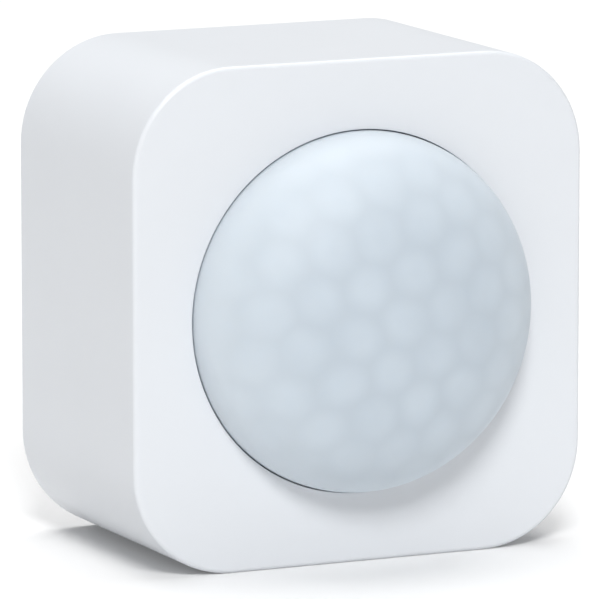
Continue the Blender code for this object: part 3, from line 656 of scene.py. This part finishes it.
def skirt_profile(inner_radius):
    """The (radius, y) places behind the dome: down the skirt, round the flange, up the inside."""
    edge, middle = SKIRT_EDGE, SKIRT_EDGE_MIDDLE
    front, back = behind_face(2.3), span("fresnel_lens", 1)[1]
    outer = span("fresnel_lens", 0)[1]
    return [(LENS_RADIUS, behind_face(0.6)), (LENS_RADIUS, behind_face(1.4)), (LENS_RADIUS, front - edge),
            (LENS_RADIUS + middle, front - middle), (LENS_RADIUS + edge, front),
            (outer - edge, front), (outer - middle, front + middle), (outer, front + edge),
            (outer, back - edge), (outer - middle, back - middle), (outer - edge, back),
            (inner_radius + edge, back), (inner_radius, back - edge),
            (inner_radius, behind_face(1.2)), (inner_radius, behind_face(0.4))]


def dome_y(radius, rim, height):
    return FACE_Y - height * math.sqrt(max(0.0, 1 - (radius / rim) ** 2))


def make_lens():
    """A dome with a smooth outside and lenslets inside, standing on a skirt and a flange."""
    inner_radius, inner_dome = LENS_RADIUS - LENS_WALL, DOME - LENS_WALL
    shape = bmesh.new()

    def ring(radius, y, swell=None):
        places = []
        for index in range(LENS_AROUND):
            angle = 2 * math.pi * index / LENS_AROUND
            x, z = radius * math.cos(angle), radius * math.sin(angle)
            places.append(shape.verts.new((x, y + swell(x, z) if swell else y, MID_Z + z)))
        return places

    rows = [[shape.verts.new((0, FACE_Y - DOME, MID_Z))]]
    for step in range(1, DOME_STEPS + 1):
        radius = LENS_RADIUS * math.sin(math.pi / 2 * step / DOME_STEPS)
        rows.append(ring(radius, dome_y(radius, LENS_RADIUS, DOME)))
    for radius, y in skirt_profile(inner_radius):
        rows.append(ring(radius, y))
    for step in range(INSIDE_STEPS, 0, -1):
        radius = inner_radius * math.sin(math.pi / 2 * step / INSIDE_STEPS)
        rows.append(ring(radius, dome_y(radius, inner_radius, inner_dome), lenslet_height))
    rows.append([shape.verts.new((0, FACE_Y - inner_dome + lenslet_height(0, 0), MID_Z))])
    skin(shape, rows)
    lens = mesh_piece("lens_dome", shape)
    lens.data.shade_smooth()
    lens.data.set_sharp_from_angle(angle=math.radians(60))
    dress(lens, "housing", LENS, "lens_milky", "fresnel_lens")


RETAINER_INNER, RETAINER_OUTER = 22.9 * MM, 26.2 * MM
RETAINER_EAR = 2.6 * MM


def make_retainer():
    """The ring behind the flange, with three screwed ears."""
    low, high = span("lens_retainer", 1)
    corners = [(RETAINER_OUTER, low), (RETAINER_OUTER, high),
               (RETAINER_INNER, high), (RETAINER_INNER, low)]
    profile = rounded_profile(corners, [0.3 * MM] * 4)
    ring = turned("lens_ring", profile, Vector((0, 0, MID_Z)), (0, 1, 0), 96)
    ears, holes = [], []
    for number in (1, 2, 3):
        place = centre(f"retainer_screw_{number}")
        ears.append(post(f"ear_{number}", place, RETAINER_EAR, (behind_face(4.5), high)))
        holes.append(post(f"ear_hole_{number}", place, SMALL_POST_HOLE, (behind_face(3.5), high + MM)))
    carve(ring, ears, holes)
    smooth(ring, 40)
    dress(ring, "housing", INNER, "inner_plastic", "lens_retainer")


# ---- Screws -------------------------------------------------------------------------------------

THREAD_PITCH, THREAD_DEPTH, THREAD_HALF = 0.7 * MM, 0.18 * MM, 0.17 * MM
RECESS_BLADE, RECESS_DEPTH = 0.24 * MM, 0.95 * MM


def make_screws():
    """Pan-head screws with a cross recess, each where the frame has one."""
    for name, head, core, rise in (("retainer_screw", 1.7 * MM, 0.75 * MM, 1.25 * MM),
                                   ("pcb_screw", 1.9 * MM, 0.75 * MM, 1.25 * MM),
                                   ("case_screw", 1.95 * MM, 0.9 * MM, 1.5 * MM)):
        number = 1
        while f"{name}_{number}" in frame["nodes"]:
            make_screw(f"{name}_{number}", head, core, rise)
            number += 1


def make_screw(node, head, core, rise):
    """A screw with a head of that radius, rise high, on a threaded shaft of radius core."""
    place = centre(node)
    tip, top = span(node, 1)
    seat = top - rise
    profile = [(0, top), (head * 0.45, top - 0.03 * MM), (head * 0.72, top - 0.12 * MM),
               (head * 0.9, top - 0.32 * MM), (head, top - 0.62 * MM), (head, seat + 0.1 * MM),
               (head - 0.1 * MM, seat), (core, seat)]
    for index in range(int((seat - tip - core) / THREAD_PITCH)):
        y = seat - (index + 0.5) * THREAD_PITCH
        groove = core - THREAD_DEPTH
        profile += [(groove, y + THREAD_HALF), (core, y), (groove, y - THREAD_HALF)]
    profile += [(core - 0.2 * MM, tip + core), (0, tip)]
    screw = turned(f"{node}_turned", profile, Vector((place.x, 0, place.z)), (0, 1, 0), 28)
    arm, blade = head * 0.56, RECESS_BLADE
    floor, above = top - RECESS_DEPTH, top + MM
    recess = [box(f"{node}_slot", (place.x - across, floor, place.z - up),
                  (place.x + across, above, place.z + up)) for across, up in ((arm, blade), (blade, arm))]
    carve(screw, cut=recess)
    smooth(screw, 45)
    dress(screw, "housing", STEEL, "screw_steel", node)


# ---- Rear: plate, door, button ------------------------------------------------------------------

PLATE_FRONT = behind_face(35.2)
BLOCK_BACK = PLATE_FRONT + 0.8 * MM         # blocks on the inside of the plate sink this far into it
PAST_REAR = REAR_Y + MM                     # cuts that open to the back end here
BAY_HALF_X, BAY_LOW, BAY_HIGH = 25.4 * MM, 13.4 * MM, 35.4 * MM
BAY_FLOOR = behind_face(23.9)
BAY_WALL = 1.4 * MM
FLOOR_WALL = 1.2 * MM
POCKET_HALF_X, POCKET_LOW, POCKET_HIGH = 20.4 * MM, 38.4 * MM, 60.6 * MM
POCKET_FLOOR = behind_face(33.9)
LIP_INNER, LIP_OUTER, LIP_LOW = 18.9 * MM, 20.8 * MM, 54.0 * MM
HINGE_BLOCK_INNER, HINGE_BLOCK_OUTER = 26.0 * MM, 28.8 * MM
HINGE_SOCKET, HINGE_SOCKET_END = 0.75 * MM, 27.5 * MM
HINGE_PIN, HINGE_PIN_END = 0.6 * MM, 27.2 * MM
DOORWAY_HALF_X, DOORWAY_LOW = 26.2 * MM, 12.6 * MM
TAB_SLOT_HALF = 1.6 * MM


def sorted_sides(side, inner, outer):
    return sorted((side * inner, side * outer))


def plate_blocks():
    """What stands on the inside of the rear plate: bay, pocket, hinge blocks, screw seats, button cup."""
    pocket_wall_x = POCKET_HALF_X + FLOOR_WALL
    blocks = [
        box("bay_block", (-BAY_HALF_X - BAY_WALL, BAY_FLOOR - FLOOR_WALL, BAY_LOW - BAY_WALL),
            (BAY_HALF_X + BAY_WALL, BLOCK_BACK, BAY_HIGH + BAY_WALL)),
        box("pocket_block", (-pocket_wall_x, POCKET_FLOOR - FLOOR_WALL, BAY_HIGH + MM),
            (pocket_wall_x, BLOCK_BACK, POCKET_HIGH + FLOOR_WALL)),
    ]
    for side in (-1, 1):
        xs = sorted_sides(side, HINGE_BLOCK_INNER, HINGE_BLOCK_OUTER)
        blocks.append(box(f"hinge_block_{side}", (xs[0], PLATE_FRONT - 2.2 * MM, BAY_LOW - 1.4 * MM),
                          (xs[1], BLOCK_BACK, BAY_LOW + 2.6 * MM)))
    for number in range(1, 5):
        place = centre(f"case_screw_{number}")
        blocks.append(post(f"seat_{number}", place, 3.2 * MM, (behind_face(30.8), BLOCK_BACK)))
    blocks.append(post("button_cup", centre("pairing_button"), 4.3 * MM, (behind_face(28), BLOCK_BACK)))
    return blocks


def plate_openings():
    """What is cut from the rear plate and its blocks."""
    axis_y, axis_z = hinge_axis()
    door_high = span("battery_door", 2)[1]
    cuts = [
        box("bay_inside", (-BAY_HALF_X, BAY_FLOOR, BAY_LOW), (BAY_HALF_X, PAST_REAR, BAY_HIGH)),
        box("door_opening", (-DOORWAY_HALF_X, PLATE_FRONT, DOORWAY_LOW),
            (DOORWAY_HALF_X, PAST_REAR, door_high + GAP)),
        box("pocket_inside", (-POCKET_HALF_X, POCKET_FLOOR, POCKET_LOW),
            (POCKET_HALF_X, PAST_REAR, POCKET_HIGH)),
        bar("hinge_socket", HINGE_SOCKET, (-HINGE_SOCKET_END, axis_y, axis_z),
            (HINGE_SOCKET_END, axis_y, axis_z), 24),
        box("hinge_slot", (-HINGE_SOCKET_END, axis_y, axis_z - 0.5 * MM),
            (HINGE_SOCKET_END, PAST_REAR, axis_z + 0.5 * MM)),
    ]
    for number in range(1, 5):
        place = centre(f"case_screw_{number}")
        cuts.append(post(f"seat_bore_{number}", place, 2.2 * MM, (behind_face(33.4), PAST_REAR)))
        cuts.append(post(f"seat_hole_{number}", place, 1.2 * MM, (behind_face(29.5), behind_face(34.4))))
    button = centre("pairing_button")
    cuts.append(post("cup_inside", button, 3.5 * MM, (behind_face(29), PLATE_FRONT)))
    cuts.append(post("button_hole", button, 2.5 * MM, (PLATE_FRONT - MM, PAST_REAR)))
    cuts.append(post("stem_hole", button, 1.6 * MM, (behind_face(27), behind_face(30))))
    for node in ("battery_lower", "battery_upper"):
        height = centre(node).z
        cuts.append(box(f"{node}_slot", (24.5 * MM, BAY_FLOOR - 2 * MM, height - TAB_SLOT_HALF),
                        (25.35 * MM, BAY_FLOOR + 0.5 * MM, height + TAB_SLOT_HALF)))
    return cuts


def make_rear_plate():
    """The rear housing: a plate set into the shell, with all that stands on it and is cut from it."""
    plate = slab("rear_plate", HALF_WIDTH - WALL - GAP, MID_Z - WALL - GAP, CORNER - WALL - GAP,
                 (PLATE_FRONT, REAR_Y), (0, MID_Z), 0.25 * MM, 3, 16)
    carve(plate, plate_blocks(), plate_openings())
    lips = []
    for side in (-1, 1):
        xs = sorted_sides(side, LIP_INNER, LIP_OUTER)
        lips.append(box(f"lip_{side}", (xs[0], behind_face(35.9), LIP_LOW),
                        (xs[1], REAR_Y, POCKET_HIGH + 0.4 * MM)))
    carve(plate, lips)
    tidy_mesh(plate)
    soften(plate, 0.12 * MM, 2)
    smooth(plate, 50)
    dress(plate, "housing", WHITE, "housing_plastic", "rear_housing")


def hinge_axis():
    """The Y and Z of the door's hinge line."""
    hinge = next(joint for joint in frame["joints"] if joint["name"] == "battery_door_hinge")
    return hinge["pos_m"][1], hinge["pos_m"][2]


def make_door():
    """The battery door: a plate with a round hinge edge, pins, a snap tab, a scallop and grip ribs."""
    door_high = span("battery_door", 2)[1]
    half_x = DOORWAY_HALF_X - GAP
    front = behind_face(35.5)
    axis_y, axis_z = hinge_axis()
    radius = (REAR_Y - front) / 2
    half_z = (door_high - axis_z) / 2
    barrel_end = half_x - 0.08 * MM     # a little short, so that no end lies in the plate's edge plane
    grip_end, grip_y = 5 * MM, REAR_Y - 0.2 * MM
    door = slab("door_plate", half_x, half_z, 0.6 * MM, (front, REAR_Y), (0, axis_z + half_z),
                0.2 * MM, 3, 4)
    joined = [
        bar("door_barrel", radius, (-barrel_end, axis_y, axis_z), (barrel_end, axis_y, axis_z), 40),
        bar("door_pin", HINGE_PIN, (-HINGE_PIN_END, axis_y, axis_z), (HINGE_PIN_END, axis_y, axis_z), 24),
        box("door_tab", (-5 * MM, front - 2.1 * MM, door_high - 1.9 * MM),
            (5 * MM, front + 0.4 * MM, door_high - MM)),
    ]
    for number in range(3):
        z = door_high - (7.2 + 1.5 * number) * MM
        joined.append(bar(f"grip_{number}", 0.42 * MM, (-grip_end, grip_y, z), (grip_end, grip_y, z), 16))
    scallop_place = Vector((0, 0, door_high + 1.5 * MM))
    scallop = post("scallop", scallop_place, 6 * MM, (REAR_Y - 0.8 * MM, REAR_Y + MM))
    carve(door, joined, [scallop])
    tidy_mesh(door)
    soften(door, 0.1 * MM, 2)
    smooth(door, 50)
    dress(door, "door", WHITE, "housing_plastic", "battery_door")


def make_button():
    """A round button: dished end, a collar that stops it behind the plate, and a stem."""
    node = "pairing_button"
    low, high = span(node, 1)
    place = centre(node)
    radius, collar, stem = 2.2 * MM, 3.1 * MM, 1.2 * MM
    collar_back = behind_face(34.9)
    dish, dish_radius, dish_steps = 0.35 * MM, radius * 0.8, 6
    profile = [(0, high - dish)]
    for step in range(1, dish_steps + 1):
        share = step / dish_steps
        profile.append((dish_radius * share, high - dish * (1 - share ** 2)))
    corners = [(radius, high), (radius, collar_back), (collar, collar_back), (collar, collar_back - MM),
               (stem, collar_back - MM), (stem, low)]
    profile += rounded_profile(corners, [0.25 * MM, 0, 0.15 * MM, 0.15 * MM, 0.15 * MM, 0.2 * MM])
    profile.append((0, low))
    button = turned("button_turned", profile, Vector((place.x, 0, place.z)), (0, 1, 0), 48)
    smooth(button, 50)
    dress(button, "button", BUTTON, "housing_plastic", node)


# ---- Cells and contacts -------------------------------------------------------------------------

BAND_LENGTH = 12.1 * MM         # the second colour of the film covers this much of the tip's end
BARE_TIP, BARE_FOOT = 1.15 * MM, 1.1 * MM
FILM = 0.08 * MM


def make_cell(node, side):
    """A cell along X: a steel can in a printed film, with a tip on one side and a flat foot."""
    low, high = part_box(node)
    place = centre(node)
    radius = (high[2] - low[2]) / 2
    length = high[0] - low[0]
    tip = high[0] if side > 0 else low[0]
    can = [(0, 0), (1.55 * MM, 0), (1.82 * MM, -0.1 * MM), (1.9 * MM, -0.3 * MM), (1.9 * MM, -0.95 * MM),
           (2.3 * MM, -1.1 * MM), (radius - 1.3 * MM, -1.1 * MM), (radius - 0.9 * MM, -1.02 * MM)]
    jacket = [(radius - 0.5 * MM, -1.02 * MM), (radius - 0.15 * MM, -1.15 * MM), (radius, -1.5 * MM),
              (radius, -2.5 * MM), (radius, -12 * MM)]
    body = [(radius, -12.3 * MM), (radius, -length / 2), (radius, 1.6 * MM - length),
            (radius - FILM, 1.2 * MM - length)]
    foot = [(radius - 0.12 * MM, 0.8 * MM - length), (radius - 0.5 * MM, 0.25 * MM - length),
            (radius - 1.0 * MM, 0.1 * MM - length), (radius - 1.5 * MM, 0.25 * MM - length),
            (2.6 * MM, 0.25 * MM - length), (2.3 * MM, -length), (0, -length)]
    profile = can + jacket + body + foot
    piece = turned(f"{node}_cell", profile, Vector((tip, place.y, place.z)), (side, 0, 0), 64)
    dress(piece, "housing", JACKET, "cell_jacket", node)
    piece.data.materials.append(BAND)
    piece.data.materials.append(NICKEL)
    for face in piece.data.polygons:
        along = abs(face.center.x - tip)
        reach = math.hypot(face.center.y - place.y, face.center.z - place.z)
        on_tip = along < BARE_TIP and reach < radius - 0.6 * MM
        if on_tip or along > length - BARE_FOOT:
            face.material_index = 2
        elif along < BAND_LENGTH:
            face.material_index = 1
    smooth(piece, 50)


SPRING_WIDE, SPRING_NARROW, SPRING_WIRE = 4.0 * MM, 2.2 * MM, 0.3 * MM
SPRING_TURNS, SPRING_STEPS = 4.6, 28
SPRING_CLOSED = 0.06            # this share of the wire lies flat at each end


def make_spring(node, side):
    """A conical spring with a closed coil at each end."""
    low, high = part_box(node)
    place = centre(node)
    foot, head = (high[0], low[0]) if side > 0 else (low[0], high[0])
    start, end = foot - side * SPRING_WIRE, head + side * SPRING_WIRE
    curve = bpy.data.curves.new(f"{node}_wire", "CURVE")
    curve.dimensions = "3D"
    curve.bevel_depth = SPRING_WIRE * 0.95
    curve.bevel_resolution = 3
    curve.use_fill_caps = True
    spline = curve.splines.new("POLY")
    last = int(SPRING_TURNS * SPRING_STEPS)
    spline.points.add(last)
    for index, knot in enumerate(spline.points):
        share = index / last
        along = min(1.0, max(0.0, (share - SPRING_CLOSED) / (1 - 2 * SPRING_CLOSED)))
        radius = SPRING_WIDE + (SPRING_NARROW - SPRING_WIDE) * share
        angle = 2 * math.pi * SPRING_TURNS * share
        knot.co = (start + (end - start) * along, place.y + radius * math.cos(angle),
                   place.z + radius * math.sin(angle), 1)
    piece = new_piece(f"{node}_coil", curve)
    dress(piece, "housing", NICKEL, "contact_nickel", node)


CONTACT_MIDDLE, CONTACT_HALF_Y = behind_face(29.55), 4.2 * MM
CONTACT_TAB_HALF = 1.2 * MM


def make_contacts():
    """Plates with round corners. The two that feed the board have a tab through the bay's floor."""
    for node in ("contact_positive", "contact_negative", "contact_bridge"):
        low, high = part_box(node)
        place = centre(node)
        places = rounded_rectangle(CONTACT_HALF_Y, (high[2] - low[2]) / 2, 1.0 * MM, 6)
        rings = [[Vector((x, CONTACT_MIDDLE + across, place.z + up)) for across, up in places]
                 for x in (low[0], high[0])]
        contact = loft(f"{node}_plate", rings)
        tabs = []
        blade_low = CONTACT_MIDDLE - CONTACT_HALF_Y
        if low[1] < blade_low - MM:
            tabs.append(box(f"{node}_tab", (low[0], low[1], place.z - CONTACT_TAB_HALF),
                            (high[0], blade_low + MM, place.z + CONTACT_TAB_HALF)))
        carve(contact, tabs)
        soften(contact, 0.06 * MM, 2)
        smooth(contact, 50)
        dress(contact, "housing", NICKEL, "contact_nickel", node)


# ---- Wall bracket and pad -----------------------------------------------------------------------

BRACKET_HALF_X = 18.4 * MM
EAR_LOW = 55 * MM
NOTCH_HALF_X, NOTCH_DEPTH, NOTCH_HEIGHT = 4 * MM, 0.8 * MM, 1.2 * MM


def make_bracket():
    """The slide-on bracket, with an ear on each side for the lips, and the foam pad stuck on it."""
    low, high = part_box("wall_bracket")
    middle = (0, (low[2] + high[2]) / 2)
    half_z = (high[2] - low[2]) / 2
    plate = slab("bracket_plate", BRACKET_HALF_X, half_z, 1.2 * MM, (low[1], high[1]), middle,
                 0.25 * MM, 3, 6)
    ears = slab("bracket_ears", high[0], (high[2] - EAR_LOW) / 2, 0.5 * MM, (low[1], behind_face(35.6)),
                (0, (high[2] + EAR_LOW) / 2), 0.2 * MM, 2, 4)
    notch = box("finger_notch", (-NOTCH_HALF_X, low[1] - MM, low[2] - MM),
                (NOTCH_HALF_X, low[1] + NOTCH_DEPTH, low[2] + NOTCH_HEIGHT))
    carve(plate, [ears], [notch])
    tidy_mesh(plate)
    soften(plate, 0.1 * MM, 2)
    smooth(plate, 50)
    dress(plate, "bracket", WHITE, "housing_plastic", "wall_bracket")
    low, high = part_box("adhesive_pad")
    middle = (0, (low[2] + high[2]) / 2)
    half_z = (high[2] - low[2]) / 2
    pad = slab("foam_pad", high[0], half_z, 1.5 * MM, (low[1], high[1]), middle, 0.12 * MM, 2, 6)
    smooth(pad, 50)
    dress(pad, "bracket", FOAM, "pad_foam", "adhesive_pad")


# ---- Inner pieces that keep their frame shape ---------------------------------------------------

def dress_inner_nodes():
    """Materials for the small inner pieces, which are shown as the frame has them."""
    looks = {
        "main_pcb": BOARD, "radio_module": BOARD,
        "pyro_sensor": TIN, "radio_shield": TIN, "capacitor": TIN,
        "pyro_window": FILTER, "status_led": LED,
        "light_sensor": CHIP, "controller_chip": CHIP, "switch_body": CHIP, "switch_plunger": PLUNGER,
        "lead_positive": LEAD_RED, "lead_negative": LEAD_BLACK,
        "pyro_lead_1": NICKEL, "pyro_lead_2": NICKEL, "pyro_lead_3": NICKEL,
    }
    for node, material in looks.items():
        item = frame["nodes"][node]
        item.data.materials.clear()
        item.data.materials.append(material)


# ---- Studio -------------------------------------------------------------------------------------

CAMERA_AZIMUTH, CAMERA_ELEVATION = math.radians(-24.98), math.radians(9.55)
CAMERA_DISTANCE = 0.966
CAMERA_LENS = 440.7             # millimetres, on a sensor 36 wide
CAMERA_TARGET = Vector((0, behind_face(18.62), MID_Z - 1.25 * MM))
SKY_LEVEL = 0.19
SKY_LEAN = (-0.06, -0.05, 0.08)     # brighter to the left, in front and overhead
HORIZON_GLOW = 0.60
GLOW_FULL, GLOW_GONE = 0.04, 0.30   # the glow fades between these rises from the horizon
KEY_DIRECTION = (-0.28, -0.70, 0.67)
KEY_DISTANCE, KEY_SIZE, KEY_POWER = 4.0, 1.2, 111.0
TOP_DIRECTION = (0.06, 0.22, 0.97)
TOP_DISTANCE, TOP_SIZE, TOP_POWER = 2.0, 2.0, 35.0
FLOOR_HALF = 3.0


def make_camera():
    """A long lens from the left and a little above."""
    level = math.cos(CAMERA_ELEVATION)
    back = Vector((math.sin(CAMERA_AZIMUTH) * level, -math.cos(CAMERA_AZIMUTH) * level,
                   math.sin(CAMERA_ELEVATION)))
    data = bpy.data.cameras.new("camera")
    data.lens = CAMERA_LENS
    data.sensor_width = 36
    data.clip_start = 0.01
    data.clip_end = 50
    camera = bpy.data.objects.new("camera", data)
    camera.location = CAMERA_TARGET + back * CAMERA_DISTANCE
    camera.rotation_euler = back.to_track_quat("Z", "Y").to_euler()
    bpy.context.scene.collection.objects.link(camera)
    bpy.context.scene.camera = camera


def area_light(name, direction, distance, size, power):
    """A round light aimed at the middle of the part's height."""
    data = bpy.data.lights.new(name, "AREA")
    data.shape = "DISK"
    data.size = size
    data.energy = power
    light = bpy.data.objects.new(name, data)
    direction = Vector(direction).normalized()
    light.location = Vector((0, 0, MID_Z)) + direction * distance
    light.rotation_euler = direction.to_track_quat("Z", "Y").to_euler()
    bpy.context.scene.collection.objects.link(light)


def make_sky():
    """A soft surround with a pale glow along the horizon, like the sweep of a studio cove."""
    world = bpy.data.worlds.new("studio")
    world.use_nodes = True
    tree = world.node_tree
    link = tree.links.new
    direction = tree.nodes.new("ShaderNodeTexCoord").outputs["Generated"]
    lean = tree.nodes.new("ShaderNodeVectorMath")
    lean.operation = "DOT_PRODUCT"
    lean.inputs[1].default_value = SKY_LEAN
    link(direction, lean.inputs[0])
    parts = tree.nodes.new("ShaderNodeSeparateXYZ")
    link(direction, parts.inputs["Vector"])
    rise = tree.nodes.new("ShaderNodeMath")
    rise.operation = "ABSOLUTE"
    link(parts.outputs["Z"], rise.inputs[0])
    glow = tree.nodes.new("ShaderNodeMapRange")
    glow.interpolation_type = "SMOOTHSTEP"
    glow.inputs["From Min"].default_value = GLOW_FULL
    glow.inputs["From Max"].default_value = GLOW_GONE
    glow.inputs["To Min"].default_value = SKY_LEVEL + HORIZON_GLOW
    glow.inputs["To Max"].default_value = SKY_LEVEL
    link(rise.outputs["Value"], glow.inputs["Value"])
    level = tree.nodes.new("ShaderNodeMath")
    level.operation = "ADD"
    link(lean.outputs["Value"], level.inputs[0])
    link(glow.outputs["Result"], level.inputs[1])
    link(level.outputs["Value"], tree.nodes["Background"].inputs["Strength"])
    tree.nodes["Background"].inputs["Color"].default_value = (1.0, 1.0, 1.0, 1.0)
    bpy.context.scene.world = world


def make_studio():
    """The surround, a key light from the left front, a wide one overhead, and the white floor."""
    make_sky()
    bpy.context.scene.view_settings.view_transform = "Standard"
    area_light("key", KEY_DIRECTION, KEY_DISTANCE, KEY_SIZE, KEY_POWER)
    area_light("overhead", TOP_DIRECTION, TOP_DISTANCE, TOP_SIZE, TOP_POWER)
    shape = bmesh.new()
    bmesh.ops.create_grid(shape, x_segments=8, y_segments=8, size=FLOOR_HALF)
    floor = mesh_piece("floor", shape)
    floor.data.materials.append(floor_white("floor_white"))


make_camera()
make_studio()
make_front_housing()
make_lens()
make_retainer()
make_screws()
make_rear_plate()
make_door()
make_button()
make_cell("battery_lower", 1)
make_cell("battery_upper", -1)
make_spring("spring_lower", -1)
make_spring("spring_upper", 1)
make_contacts()
make_bracket()
dress_inner_nodes()
